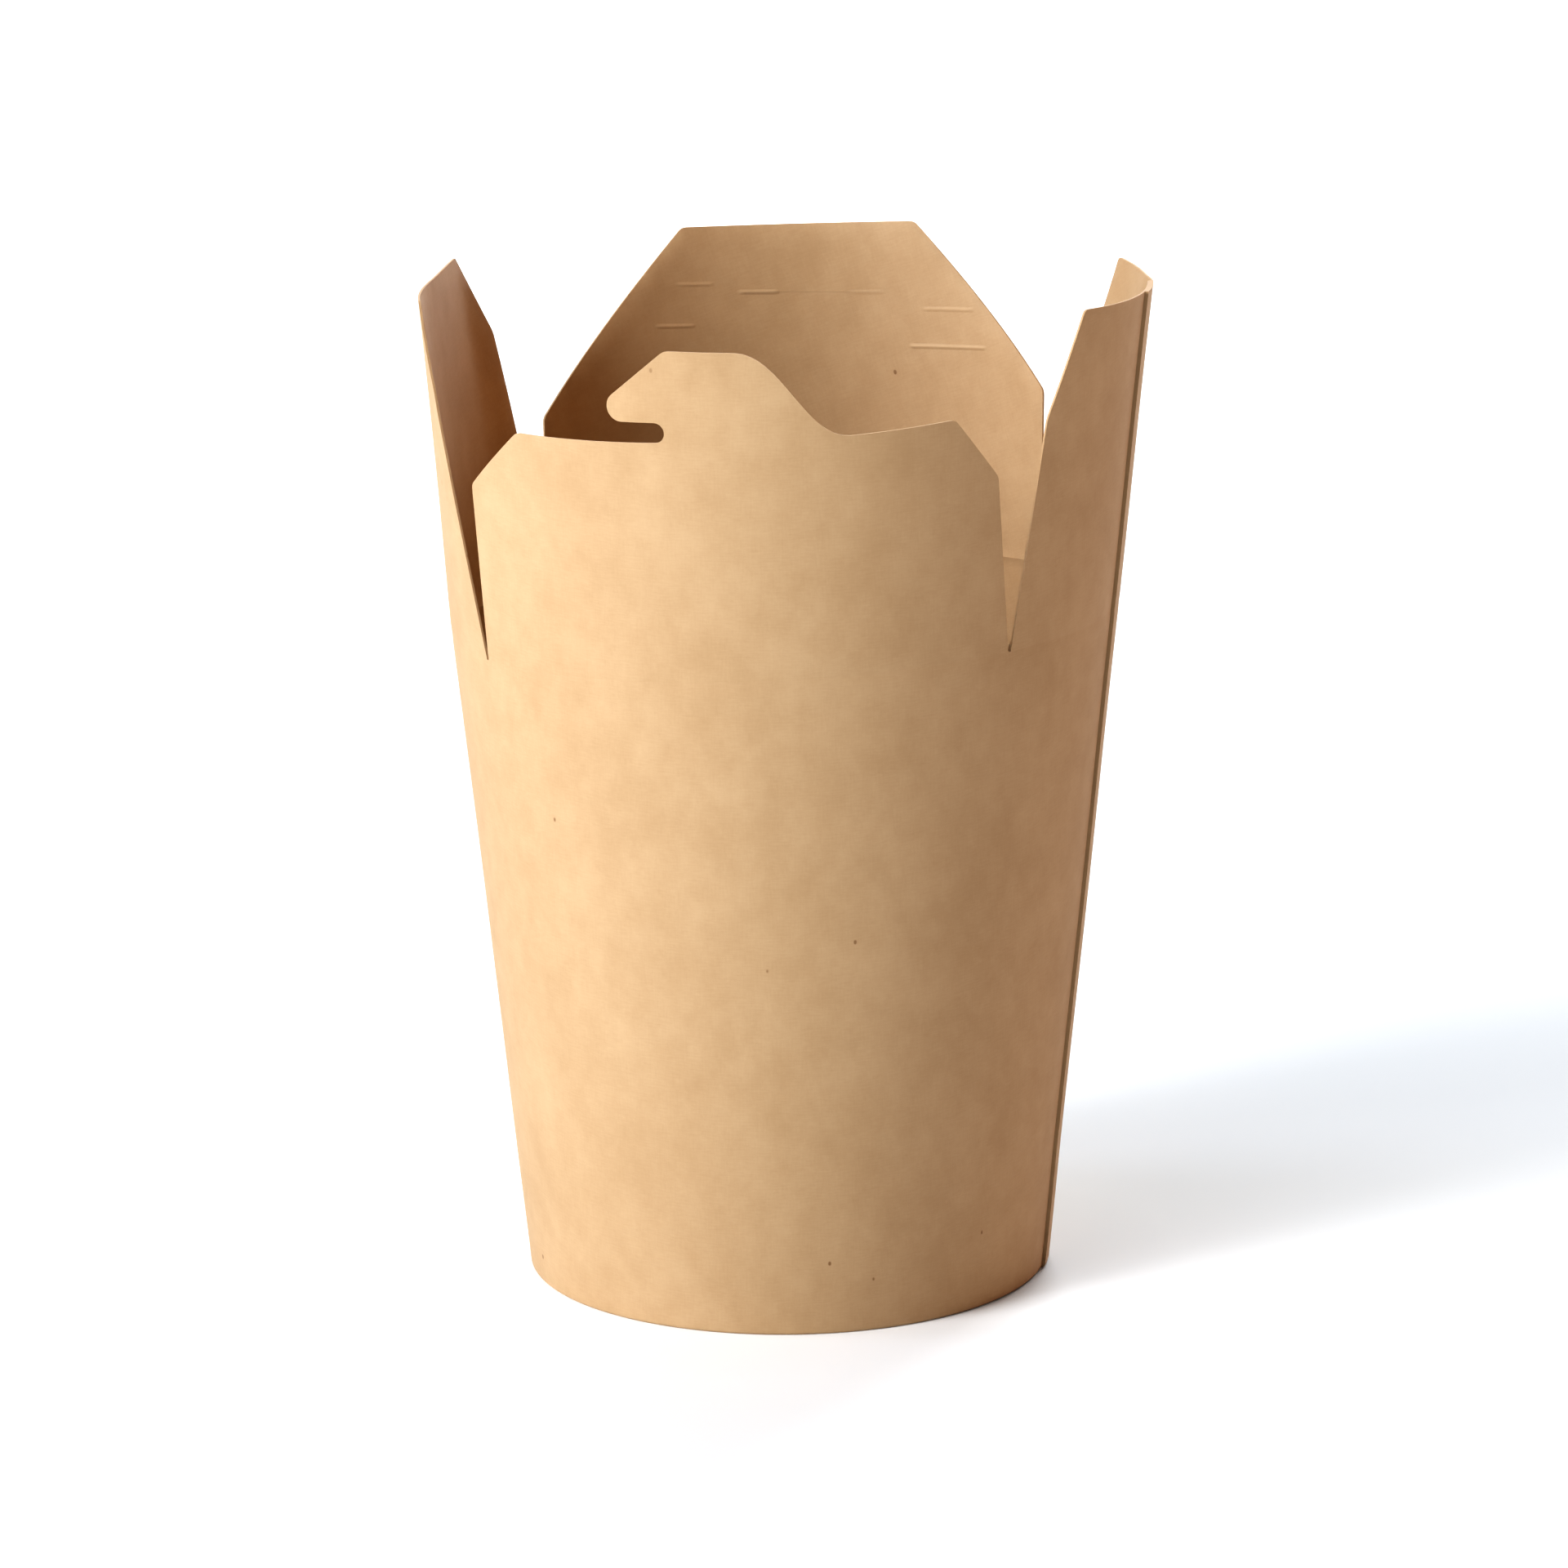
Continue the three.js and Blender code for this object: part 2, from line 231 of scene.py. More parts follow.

# How far pressed lines, cut edges and the lap's raw edge change the board's colour: a painted highlight along
# the pressed lines, the board's pale core at cut edges with a painted highlight where a cut faces up, and
# painted shade in the gap at the lap's raw edge
PRESSED_HIGHLIGHT_SHARE = 0.35
CUT_SHARE = 0.5
SEAM_SHADE_SHARE = 0.1

# The board's surface. The inside is a little smoother than the outside
RELIEF_DEPTH = 0.00004
RELIEF_SHARE = 0.5
BOARD_ROUGHNESS = 0.80
INSIDE_SMOOTHER = 0.16
FELT_ROUGHNESS = 0.12
MIDDLE_GREY = 0.5
BOARD_SHINE = 0.35
BOARD_SHEEN = 0.06
SHEEN_ROUGHNESS = 0.5

# The floor, a sheet of this half width in metres
FLOOR_HALF = 8.0
FLOOR_WHITE = (0.920, 0.942, 0.952)
FLOOR_GLOW = (0.02, 0.02, 0.02)
FLOOR_DARKER = 0.99
FLOOR_CLOUDS = (3.0, 3.0, 3.0)
FLOOR_CLOUD_DETAIL = 2.0
FLOOR_CLOUD_RANGE = (0.3, 0.7)
FLOOR_ROUGHNESS = 0.85
FLOOR_SHINE = 0.2

# Well away from the cup the floor glows white, as a studio's sweep does, from and to these radii in metres
SWEEP_START = 0.85
SWEEP_FULL = 1.5
SWEEP_WHITE = (1.1, 1.1, 1.1)

# The camera stands where the photograph was taken from
CAMERA_AT = Vector((135.8, -786.4, 259.0)) * MM
CAMERA_AIM = Vector((0.0, 0.0, 68.5)) * MM
CAMERA_LENS = 135.0
CAMERA_SENSOR = 36.0
CAMERA_NEAR = 0.01
CAMERA_ROLL = math.radians(0.55)

# Round soft boxes that face the cup: the side each stands on and its rise in degrees, its size in metres, its
# power in watts, its tint and its distance in metres
LIGHT_AIM = Vector((0.0, 0.0, 70.0)) * MM
SOFT_BOXES = (
    ("key", -45, 18, 1.15, 15.4, (0.91, 0.95, 1.0), 1.7),
    ("key_above", -45, 34, 0.6, 13.2, (1.0, 0.985, 0.99), 1.7),
    ("front", -25, 38, 0.8, 3.7, (1.0, 0.86, 0.80), 1.7),
    ("side", -80, 24, 0.6, 4.8, (0.78, 0.82, 1.0), 1.7),
    ("overhead", 180, 82, 2.6, 10.8, (0.95, 0.97, 0.98), 2.35),
    ("rim", 173, 28, 1.2, 26.8, (0.93, 0.96, 1.0), 1.84),
)
KRAFT_BOUNCE = ("kraft_bounce", 100, 25, 1.0, 5.4, (1.0, 0.34, 0.0), 1.7)

# A narrow lamp above the mouth: its height, the radius it lights on the base and its own radius in metres
INSIDE_HEIGHT = 1.3
INSIDE_REACH = 0.042
INSIDE_RADIUS = 0.03
INSIDE_POWER = 11.0


# Shapes on the cone

def outside_at(z):
    return FOOT_RADIUS + z * math.tan(WALL_LEAN)


def smooth_step(value, low, high):
    t = min(max((value - low) / (high - low), 0.0), 1.0)
    return t * t * (3 - 2 * t)


def lap_layers(azimuth):
    """How many boards the outer and the inner face stand out because of the glued lap."""
    settle = 1 - smooth_step(azimuth, LAP_INNER_EDGE, LAP_INNER_EDGE + LAP_RISE)
    outer = settle if azimuth > LAP_EDGE else 0.0
    inner = settle if azimuth > LAP_INNER_EDGE else 0.0
    return outer, inner


def board_wave(azimuth, z):
    turn = math.radians(azimuth)
    spot = Vector((math.sin(turn) * WAVE_TURN, math.cos(turn) * WAVE_TURN, z / WAVE_HEIGHT))
    return WAVE_DEPTH * noise.noise(spot) * smooth_step(z, WAVE_START, WAVE_FULL)


def fold_tilt(azimuth):
    return FOLD_TILT * math.sin(math.radians(azimuth))


def score(azimuth, z):
    """0 away from the fold line and 1 on it."""
    away = (z - FOLD_HEIGHT - fold_tilt(azimuth)) / SCORE_HALF_WIDTH
    return math.exp(-away * away * SCORE_FALL)


def around(azimuth, radius, z):
    turn = math.radians(azimuth)
    return (radius * math.sin(turn), -radius * math.cos(turn), z)


def lap_groove(azimuth):
    """The narrow gap that stays open in front of the lap's raw edge."""
    before = LAP_EDGE - azimuth
    return -LAP_GROOVE if 0 < before < LAP_GROOVE_FLOOR * LAP_GROOVE_WIDTH else 0.0


def board_point(azimuth, slant, inside, spring=0.0, thickness=1.0):
    """A point on the outer or inner face of the board. thickness is a share of the full board."""
    outer_lap, inner_lap = lap_layers(azimuth % 360)
    z = slant * math.cos(WALL_LEAN)
    radius = outside_at(z) + board_wave(azimuth, z) + spring
    if inside:
        radius += BOARD * (inner_lap - thickness) - SCORE_BEAD * score(azimuth, z)
    else:
        radius += BOARD * outer_lap - SCORE_DEPTH * score(azimuth, z) + lap_groove(azimuth % 360)
    return around(azimuth, radius, z)


def flat_point(distance, azimuth, centre=0.0):
    """A point of the flat sheet at a distance from the cone's tip, with the centre's azimuth straight up."""
    turn = math.radians(azimuth - centre) * math.sin(WALL_LEAN)
    return (distance * math.sin(turn), distance * math.cos(turn) - TIP_TO_FOOT)


def on_flat(azimuth, slant):
    """Where a point of the board lies on the whole flat sheet, whose ends meet at the lap's edge."""
    return flat_point(TIP_TO_FOOT + slant, azimuth if azimuth <= LAP_EDGE else azimuth - 360)


def azimuth_of(x, y, centre):
    return centre + math.degrees(math.atan2(x, y + TIP_TO_FOOT)) / math.sin(WALL_LEAN)


def slant_of(x, y):
    return math.hypot(x, y + TIP_TO_FOOT) - TIP_TO_FOOT


def finish_mesh(name, points, faces, places, marks, material):
    """A mesh object in metres. places are positions on the sheet by point, and marks are values by face."""
    mesh = bpy.data.meshes.new(name)
    mesh.from_pydata([tuple(c * MM for c in p) for p in points], [], faces)
    for place, values in places.items():
        layer = mesh.attributes.new(place, "FLOAT_VECTOR", "POINT")
        layer.data.foreach_set("vector", np.asarray(values, np.float32).ravel())
    for mark, values in marks.items():
        layer = mesh.attributes.new(mark, "FLOAT", "FACE")
        layer.data.foreach_set("value", np.asarray(values, np.float32))
    shell = bmesh.new()
    shell.from_mesh(mesh)
    bmesh.ops.recalc_face_normals(shell, faces=shell.faces)
    for edge in shell.edges:
        edge.smooth = not edge.is_manifold or edge.calc_face_angle() < SMOOTH_BELOW
    for face in shell.faces:
        face.smooth = True
    shell.to_mesh(mesh)
    shell.free()
    mesh.materials.append(material)
    piece = bpy.data.objects.new(name, mesh)
    bpy.context.scene.collection.objects.link(piece)
    return piece


# The wall

def spread(low, high, step):
    count = max(1, round((high - low) / step))
    return [low + (high - low) * k / count for k in range(count + 1)]


def lap_lines():
    """Azimuths a little either side of the lap's raw edges, along the groove and beyond the outer edge."""
    half = RAW_EDGE_WIDTH / 2
    lines = [edge + side for edge in (LAP_EDGE, LAP_INNER_EDGE) for side in (-half, half)]
    return lines + [LAP_EDGE - LAP_GROOVE_WIDTH, LAP_EDGE - LAP_GROOVE_WIDTH / 2, LAP_EDGE + LAP_BEYOND]


def wall_columns():
    columns = spread(0, 360, COLUMN_STEP)[:-1]
    columns = [a for a in columns if abs(a - LAP_EDGE) > LAP_CLEAR and abs(a - LAP_INNER_EDGE) > LAP_CLEAR]
    return sorted(columns + lap_lines())


def near_fold(direction):
    """Slants close to the fold line that give the score its round section."""
    return [FOLD_SLANT + direction * SCORE_HALF_WIDTH * share for share in SCORE_ROWS]


def foot_corner(centre, start):
    """A quarter turn under the foot, as insets from the outside face and heights."""
    turns = [start + math.pi / 2 * k / BEND_STEPS for k in range(BEND_STEPS + 1)]
    return [(centre - FOOT_CORNER * math.cos(t), FOOT_CORNER * (1 - math.sin(t))) for t in turns]


def wall_section():
    """The closed section of the wall: (inset, slant, face) from the fold line, round the foot and back."""
    hem = 3 * BOARD + 2 * LAYER_GAP
    rows = spread(FOOT_CORNER + FOOT_CLEAR, FOLD_SLANT - FOLD_CLEAR, ROW_STEP) + near_fold(-1)
    under = foot_corner(FOOT_CORNER, 0) + foot_corner(hem - FOOT_CORNER, math.pi / 2)
    section = [(0.0, slant, "outer") for slant in reversed(rows)]
    section += [(inset, z, "roll") for inset, z in under]
    section += [(hem, HEM_TOP, "hem"), (hem - BOARD, HEM_TOP, "hem")]
    section += [(hem - BOARD, BOARD, "roll"), (BOARD, BOARD, "roll")]
    section += [(BOARD, slant, "inner") for slant in rows if slant > BASE_TOP - INNER_BELOW_BASE]
    return section


def wall_piece(material):
    section = wall_section()
    columns = wall_columns()
    points = []
    flat = []
    for azimuth in columns:
        lap, _ = lap_layers(azimuth)
        for inset, slant, face in section:
            if face in ("outer", "inner"):
                slant += fold_tilt(azimuth) * smooth_step(slant, FOLD_SLANT / 2, FOLD_SLANT)
                point = board_point(azimuth, slant, face == "inner")
            else:
                lift = BOARD * lap * max(0.0, 1 - inset / BOARD) if face == "roll" else 0.0
                point = around(azimuth, outside_at(slant) - inset + lift, slant)
            points.append(point)
            flat.append((*on_flat(azimuth, slant), inset))
    count = len(section)
    faces = []
    marks = {"cut_core_and_highlight": [], "inner_face": [], "seam_shade": []}
    for i, azimuth in enumerate(columns):
        following = columns[(i + 1) % len(columns)]
        raw_edge = 0 < following - azimuth < 2 * RAW_EDGE_WIDTH
        here, beyond = i * count, ((i + 1) % len(columns)) * count
        for j in range(count):
            k = (j + 1) % count
            faces.append((here + j, beyond + j, beyond + k, here + k))
            kinds = {section[j][2], section[k][2]}
            inner_raw = kinds == {"inner"} and raw_edge and azimuth > LAP_MIDDLE
            # The faces of the lap's outer raw edge get a mark that paints them darker: painted shade for the
            # gap in the lap's groove
            outer_raw = kinds <= {"outer", "roll"} and raw_edge and azimuth < LAP_MIDDLE
            end = kinds == {"hem"} or kinds == {"outer", "inner"}
            marks["cut_core_and_highlight"].append(1.0 if inner_raw or end else 0.0)
            marks["inner_face"].append(1.0 if "inner" in kinds and not end else 0.0)
            marks["seam_shade"].append(1.0 if outer_raw else 0.0)
    return finish_mesh("wall_sheet", points, faces, {"flat": flat}, marks, material)


# The base

def base_piece(material):
    """The recessed disc with its skirt turned down between wall and hem. Its middle is drawn up a little."""
    shell_out = outside_at(BASE_TOP - SKIRT_BEND) - BOARD - LAYER_GAP
    skirt_foot = outside_at(SKIRT_BOTTOM) - BOARD - LAYER_GAP
    bend_radius, bend_height = shell_out - SKIRT_BEND, BASE_TOP - SKIRT_BEND
    radii = spread(0.0, bend_radius - BASE_RING_CLEAR, BASE_RING_STEP)

    def bend(radius):
        """From the disc's edge over to the skirt."""
        turns = [math.pi / 2 * k / BEND_STEPS for k in reversed(range(BEND_STEPS + 1))]
        return [(bend_radius + radius * math.cos(t), bend_height + radius * math.sin(t)) for t in turns]

    def disc(height):
        """From the middle out to the bend."""
        rises = [BASE_CROWN * smooth_step(bend_radius - r, 0, bend_radius) for r in radii]
        return [(r, height + rise - BASE_CROWN) for r, rise in zip(radii, rises)]

    upper_bend = bend(SKIRT_BEND)
    upper_bend[0] = (upper_bend[0][0], upper_bend[0][1] - BASE_CROWN)
    profile = disc(BASE_TOP) + upper_bend
    profile += [(skirt_foot, SKIRT_BOTTOM), (skirt_foot - BASE_THICKNESS, SKIRT_BOTTOM)]
    profile += bend(SKIRT_BEND - BASE_THICKNESS)[::-1] + disc(BASE_TOP - BASE_THICKNESS)[::-1]
    points = [(0, 0, profile[0][1]), (0, 0, profile[-1][1])]
    ring = profile[1:-1]
    for i in range(BASE_TURNS):
        points += [around(360 * i / BASE_TURNS, r, z) for r, z in ring]
    count = len(ring)
    faces = []
    for i in range(BASE_TURNS):
        here, beyond = 2 + i * count, 2 + ((i + 1) % BASE_TURNS) * count
        faces.append((0, beyond, here))
        faces.append((1, here + count - 1, beyond + count - 1))
        faces += [(here + j, beyond + j, beyond + j + 1, here + j + 1) for j in range(count - 1)]
    flat = [(x, y, BASE_PULP) for x, y, _ in points]
    marks = {"cut_core_and_highlight": [0.0] * len(faces), "inner_face": [1.0] * len(faces), "seam_shade": [0.0] * len(faces)}
    return finish_mesh("base_disc", points, faces, {"flat": flat}, marks, material)


# The flaps, drawn on the flat sheet

def rounded(corners):
    """An outline whose corners between straight cuts are eased, as a cutting rule leaves them."""
    outline = []
    for k, corner in enumerate(corners):
        here = Vector(corner)
        back = Vector(corners[k - 1]) - here
        on = Vector(corners[(k + 1) % len(corners)]) - here
        reach = min(CORNER_RADIUS, back.length * CORNER_SIDE_SHARE, on.length * CORNER_SIDE_SHARE)
        sharp = CORNER_LEAST_TURN < back.angle(on) < math.pi - CORNER_LEAST_TURN
        if k in (0, len(corners) - 1) or reach < CORNER_RADIUS * CORNER_ROOM or not sharp:
            outline.append(tuple(here))
            continue
        start, end = here + back.normalized() * reach, here + on.normalized() * reach
        for t in CORNER_STEPS:
            outline.append(tuple(start * (1 - t) ** 2 + here * 2 * t * (1 - t) + end * t * t))
    return outline


def arc(centre, radius, start, end, steps):
    turns = [math.radians(start + (end - start) * k / steps) for k in range(steps + 1)]
    return [(centre[0] + radius * math.cos(t), centre[1] + radius * math.sin(t)) for t in turns]


def curl(a, b, c, d, steps):
    """A cubic curve between a and d."""
    points = []
    for k in range(steps + 1):
        t = k / steps
        weights = ((1 - t) ** 3, 3 * t * (1 - t) ** 2, 3 * t * t * (1 - t), t ** 3)
        points.append(tuple(sum(w * p[i] for w, p in zip(weights, (a, b, c, d))) for i in (0, 1)))
    return points


def densify(outline):
    """The same outline, with points no more than a flap's step apart."""
    points = []
    for k, here in enumerate(outline):
        following = outline[(k + 1) % len(outline)]
        count = max(1, math.ceil(math.dist(here, following) / FLAP_STEP))
        for n in range(count):
            points.append(tuple(here[i] + (following[i] - here[i]) * n / count for i in (0, 1)))
    return points


def front_outline():
    """The hook flap: chamfered shoulders, a notch under the hook and an S-shaped curl on its other side."""
    guides = zip(HOOK_CURL, (HOOK_SHOULDER, HOOK_SHOULDER, HOOK_TOP, HOOK_TOP))
    outline = FRONT_RIGHT_SHOULDER + curl(*guides, CURL_STEPS) + [(HOOK_TOP_LEFT, HOOK_TOP)]
    outline += arc(HOOK_TIP, HOOK_TIP_RADIUS, *HOOK_TIP_TURN, TIP_STEPS)
    outline += arc(NOTCH, NOTCH_RADIUS, 90, -90, NOTCH_STEPS)
    return outline + FRONT_LEFT_SHOULDER


def side_outline(shoulder, top):
    return [shoulder, top, (-top[0], top[1]), (-shoulder[0], shoulder[1])]


def slot_outline():
    """A narrow cut with round ends."""
    end = arc((SLOT_END, SLOT_HEIGHT), SLOT_WIDTH / 2, -90, 90, SLOT_STEPS)
    start = arc((SLOT_START, SLOT_HEIGHT), SLOT_WIDTH / 2, 90, 270, SLOT_STEPS)
    return densify(end + start)


def left_spring(azimuth, rise):
    """The left flap has sprung flatter than the cone: its middle is in, and its far top corner curls out."""
    across = min(max((azimuth - LEFT["centre"]) / LEFT_HALF_TOP, -1.0), LEFT_WIDEST)
    up = min(max(rise / FLAP_RISE, 0.0), 1.0)
    far = max(-across, 0.0)
    return LEFT_FLATTER * up * (across * across - 1) + LEFT_CORNER * (up * far) ** 2


def no_spring(azimuth, rise):
    return 0.0


def flap_shape(number, outline, spring=no_spring, holes=()):
    """A flap's drawing. Flaps are numbered from the front, and each ends at the slit of its own number."""
    start = SLITS[number - 1] - (360 if number == 0 else 0)
    return {
        "centre": FLAP_CENTRES[number],
        "slits": (start, SLITS[number]),
        "outline": outline,
        "spring": spring,
        "holes": list(holes),
    }


FRONT = flap_shape(0, front_outline())
RIGHT = flap_shape(1, side_outline(RIGHT_SHOULDER, RIGHT_TOP))
BACK = flap_shape(2, BACK_CORNERS, holes=[slot_outline()])
LEFT = flap_shape(3, side_outline(LEFT_SHOULDER, LEFT_TOP), spring=left_spring)


def fold_point(azimuth, centre):
    return flat_point(TIP_TO_FOOT + FOLD_SLANT + fold_tilt(azimuth), azimuth, centre)


def fold_line(centre, start, end):
    """Points of the fold from slit to slit, at the wall's own columns so that nothing shows between."""
    columns = [a + turn for a in wall_columns() for turn in (-360, 0)]
    inside = [a for a in columns if start + FOLD_END_CLEAR < a < end - FOLD_END_CLEAR]
    return [fold_point(a, centre) for a in sorted(inside)]


def inside_outline(point, loops, clearance=0.0):
    """Whether a point is in the board and not too near a cut."""
    x, y = point
    odd = False
    for loop in loops:
        for a, b in zip(loop, loop[1:] + loop[:1]):
            if (a[1] > y) != (b[1] > y) and x < a[0] + (y - a[1]) * (b[0] - a[0]) / (b[1] - a[1]):
                odd = not odd
            side = Vector((b[0] - a[0], b[1] - a[1]))
            along = Vector((x - a[0], y - a[1])).dot(side) / max(side.length_squared, SHORTEST)
            t = min(max(along, 0), 1)
            if math.dist(point, (a[0] + side.x * t, a[1] + side.y * t)) < clearance:
                return False
    return odd


def grain_points(centre, start, end, loops):
    """Points inside a flap: rows that follow the fold, the first ones close together for the score."""
    slants = sorted(near_fold(1))[1:]
    slants += spread(slants[-1] + SCORE_CLEAR, FOLD_SLANT + FLAP_REACH, FLAP_STEP)
    points = []
    for row, slant in enumerate(slants):
        shift = COLUMN_STEP / 2 if row % 2 else 0.0
        for azimuth in np.arange(start + FLAP_START_CLEAR + shift, end - FLAP_END_CLEAR, FLAP_TURN):
            if abs(azimuth - LAP_EDGE) < LAP_CLEAR or abs(azimuth - LAP_INNER_EDGE) < LAP_CLEAR:
                continue
            point = flat_point(TIP_TO_FOOT + slant + fold_tilt(azimuth), azimuth, centre)
            if inside_outline(point, loops, CUT_CLEAR):
                points.append(point)
    return points


def flap_piece(name, shape, material):
    """One flap: its cuts and lap lines are laid on the flat sheet, filled with triangles and bent round."""
    centre = shape["centre"]
    half_slit = math.degrees(SLIT_WIDTH / 2 / outside_at(FOLD_HEIGHT))
    start, end = shape["slits"][0] + half_slit, shape["slits"][1] - half_slit
    cuts = rounded([fold_point(end, centre), *shape["outline"], fold_point(start, centre)])
    outline = densify(cuts)
    outline = outline[:outline.index(cuts[-1]) + 1] + fold_line(centre, start, end)
    points = []
    edges = []
    for loop in [outline] + shape["holes"]:
        first = len(points)
        points += loop
        edges += [(first + k, first + (k + 1) % len(loop)) for k in range(len(loop))]
    for azimuth in [line for line in lap_lines() if start < line < end]:
        low = FOLD_SLANT + fold_tilt(azimuth) + LINE_CLEAR
        first = len(points)
        for slant in spread(low, FOLD_SLANT + FLAP_REACH, FLAP_STEP):
            points.append(flat_point(TIP_TO_FOOT + slant, azimuth, centre))
        edges += [(k, k + 1) for k in range(first, len(points) - 1)]
    points += grain_points(centre, start, end, [outline] + shape["holes"])
    flat_points, _, triangles, _, _, _ = geometry.delaunay_2d_cdt(
        [Vector(p) for p in points], edges, [], INSIDE_ONLY, SAME_POINT)
    kept = []
    for triangle in triangles:
        middle = tuple(sum(flat_points[i][axis] for i in triangle) / 3 for axis in (0, 1))
        in_hole = any(inside_outline(middle, [hole]) for hole in shape["holes"])
        if inside_outline(middle, [outline]) and not in_hole:
            kept.append(triangle)
    used = sorted({i for triangle in kept for i in triangle})
    number = {i: k for k, i in enumerate(used)}
    kept = [tuple(number[i] for i in triangle) for triangle in kept]
    return bend_flap(name, shape, [tuple(flat_points[i]) for i in used], kept, material)


def core_and_highlight_level(a, b):
    """1 on a cut that runs across the flap and faces up, 0 on one that runs up it. The pale core is the
    board's own, and showing more of it where a cut faces up is a painted highlight.
    """
    return abs(a[0] - b[0]) / math.dist(a, b)


def border_of(triangles):
    """The edges that belong to one triangle alone, in the order they are met."""
    border = {}
    for a, b, c in triangles:
        for edge in ((a, b), (b, c), (c, a)):
            if edge[::-1] in border:
                del border[edge[::-1]]
            else:
                border[edge] = True
    return list(border)


def bend_flap(name, shape, flat_points, triangles, material):
    """Rolls the flat board onto the cone, gives it its thickness and closes its cut edges."""
    border = border_of(triangles)
    at_cut = {i for edge in border for i in edge}
    outer = []
    inner = []
    places = []
    for i, (x, y) in enumerate(flat_points):
        azimuth, slant = azimuth_of(x, y, shape["centre"]), slant_of(x, y)
        rise = slant - FOLD_SLANT - fold_tilt(azimuth)
        at_slot = abs(y - SLOT_HEIGHT) < SLOT_WIDTH
        thickness = CRUSHED if i in at_cut and rise > SCORE_HALF_WIDTH and not at_slot else 1.0
        spring = shape["spring"](azimuth, slant - FOLD_SLANT)
        outer.append(board_point(azimuth, slant, False, spring))
        inner.append(board_point(azimuth, slant, True, spring, thickness))
        places.append(on_flat(azimuth, slant))
    shift = len(outer)
    faces = [tuple(t) for t in triangles]
    faces += [(a + shift, c + shift, b + shift) for a, b, c in triangles]
    faces += [(b, a, a + shift, b + shift) for a, b in border]
    cut_core_and_highlight = [0.0] * (2 * len(triangles))
    # Cuts across the flap face up and show more of the pale core: partly the board's own core, partly a
    # painted highlight
    cut_core_and_highlight += [core_and_highlight_level(flat_points[a], flat_points[b]) for a, b in border]
    seam_shade = [0.0] * len(faces)
    # Thin triangles at the lap's outer edge get a mark that paints them darker, painted shade for the gap in
    # its groove; those at its inner edge get the pale core
    for k, triangle in enumerate(triangles):
        corners = [azimuth_of(*flat_points[i], shape["centre"]) for i in triangle]
        narrow = max(corners) - min(corners) < 2 * RAW_EDGE_WIDTH
        seam_shade[k] = 1.0 if narrow and abs(corners[0] - LAP_EDGE) < RAW_EDGE_WIDTH else 0.0
        if narrow and abs(corners[0] - LAP_EDGE - LAP_WIDTH) < RAW_EDGE_WIDTH:
            cut_core_and_highlight[k + len(triangles)] = 1.0
    inner_face = [0.0] * len(triangles) + [1.0] * len(triangles) + [0.0] * len(border)
    flat = [(*p, 0.0) for p in places] + [(*p, BOARD) for p in places]
    drawn = [(*p, 0.0) for p in flat_points] * 2
    marks = {"cut_core_and_highlight": cut_core_and_highlight, "inner_face": inner_face, "seam_shade": seam_shade}
    return finish_mesh(name, outer + inner, faces, {"flat": flat, "drawn": drawn}, marks, material)


# The board's finish

class Amount:
    """A number that changes over the surface. Python's operators add Math nodes."""

    def __init__(self, finish, socket):
        self.finish = finish
        self.socket = socket

    def _with(self, operation, other):
        return self.finish.amount("ShaderNodeMath", {"operation": operation}, {0: self, 1: other})

    def __add__(self, other):
        return self._with("ADD", other)

    __radd__ = __add__

    def __mul__(self, other):
        return self._with("MULTIPLY", other)

    __rmul__ = __mul__

    def __sub__(self, other):
        return self._with("SUBTRACT", other)

    def __rsub__(self, other):
        return self * -1 + other

    def above(self, low, high):
        """0 below low and 1 above high, smooth between."""
        settings = {"interpolation_type": "SMOOTHSTEP", "clamp": True}
        return self.finish.amount("ShaderNodeMapRange", settings, {"Value": self, 1: low, 2: high})


class Finish:
    """One material, and the few ways this scene adds nodes to it."""

    def __init__(self, name):
        self.material = bpy.data.materials.new(name)
        self.material.use_nodes = True
        self.tree = self.material.node_tree
        self.tree.nodes.clear()

    def node(self, kind, settings, inputs):
        node = self.tree.nodes.new(kind)
        for key, value in settings.items():
            setattr(node, key, value)
        for key, value in inputs.items():
            value = value.socket if isinstance(value, Amount) else value
            if isinstance(value, bpy.types.NodeSocket):
                self.tree.links.new(value, node.inputs[key])
            else:
                node.inputs[key].default_value = value
        return node

    def amount(self, kind, settings, inputs, output=0):
        return Amount(self, self.node(kind, settings, inputs).outputs[output])

    def mark(self, name):
        """A value that the mesh keeps for each face."""
        return self.amount("ShaderNodeAttribute", {"attribute_name": name}, {}, "Fac")

    def place(self, name):
        """A position that the mesh keeps for each point."""
        return self.node("ShaderNodeAttribute", {"attribute_name": name}, {}).outputs["Vector"]

    def stretched(self, place, scale):
        settings = {"operation": "MULTIPLY"}
        return self.node("ShaderNodeVectorMath", settings, {0: place, 1: scale}).outputs[0]

    def cloud(self, place, scale, detail, roughness=0.55):
        grain = self.stretched(place, scale)
        inputs = {"Vector": grain, "Scale": 1.0, "Detail": detail, "Roughness": roughness}
        return self.amount("ShaderNodeTexNoise", {"noise_dimensions": "3D"}, inputs)

    def mix(self, share, a, b):
        """a where the share is 0 and b where it is 1. The Mix node takes colours at its sockets 6 and 7."""
        settings = {"data_type": "RGBA", "blend_type": "MIX"}
        first, second = [(*colour, 1.0) if isinstance(colour, tuple) else colour for colour in (a, b)]
        return self.node("ShaderNodeMix", settings, {0: share, 6: first, 7: second}).outputs[2]

    def shade(self, sockets):
        shader = self.node("ShaderNodeBsdfPrincipled", {}, sockets)
        self.node("ShaderNodeOutputMaterial", {}, {"Surface": shader.outputs[0]})
        return self.material


def toned(colour, tone):
    return tuple(c * tone for c in colour)


